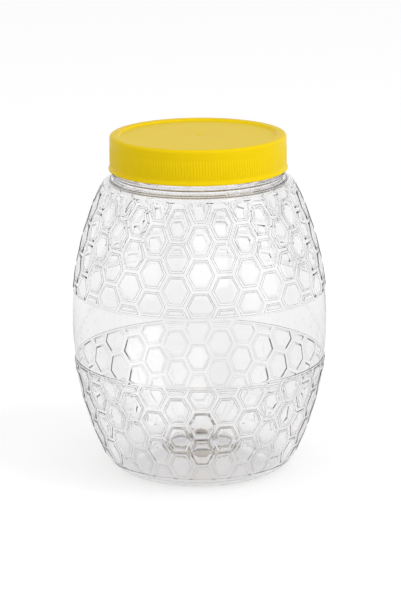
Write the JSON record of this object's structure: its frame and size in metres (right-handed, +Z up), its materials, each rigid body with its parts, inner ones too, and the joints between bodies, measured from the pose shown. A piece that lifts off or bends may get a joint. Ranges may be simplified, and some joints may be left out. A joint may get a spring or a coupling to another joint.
{
  "type": "plastic honey jar",
  "caption": "Wide-mouth barrel-shaped clear plastic jar with a raised honeycomb relief, a smooth band for a label and a ribbed yellow screw lid.",
  "frame": {"origin": "middle of the ring that the jar stands on", "axes": "+Z up along the jar's axis; -Y is the front, where a column of honeycomb cells is centred"},
  "size_m": [0.1606, 0.1606, 0.2147],
  "materials": {
    "clear_pet": "clear glossy blow-moulded PET",
    "yellow_pp": "semi-gloss moulded polypropylene"
  },
  "bodies": {
    "root": {"jar": "clear_pet", "lid": "yellow_pp"}
  },
  "joints": []
}
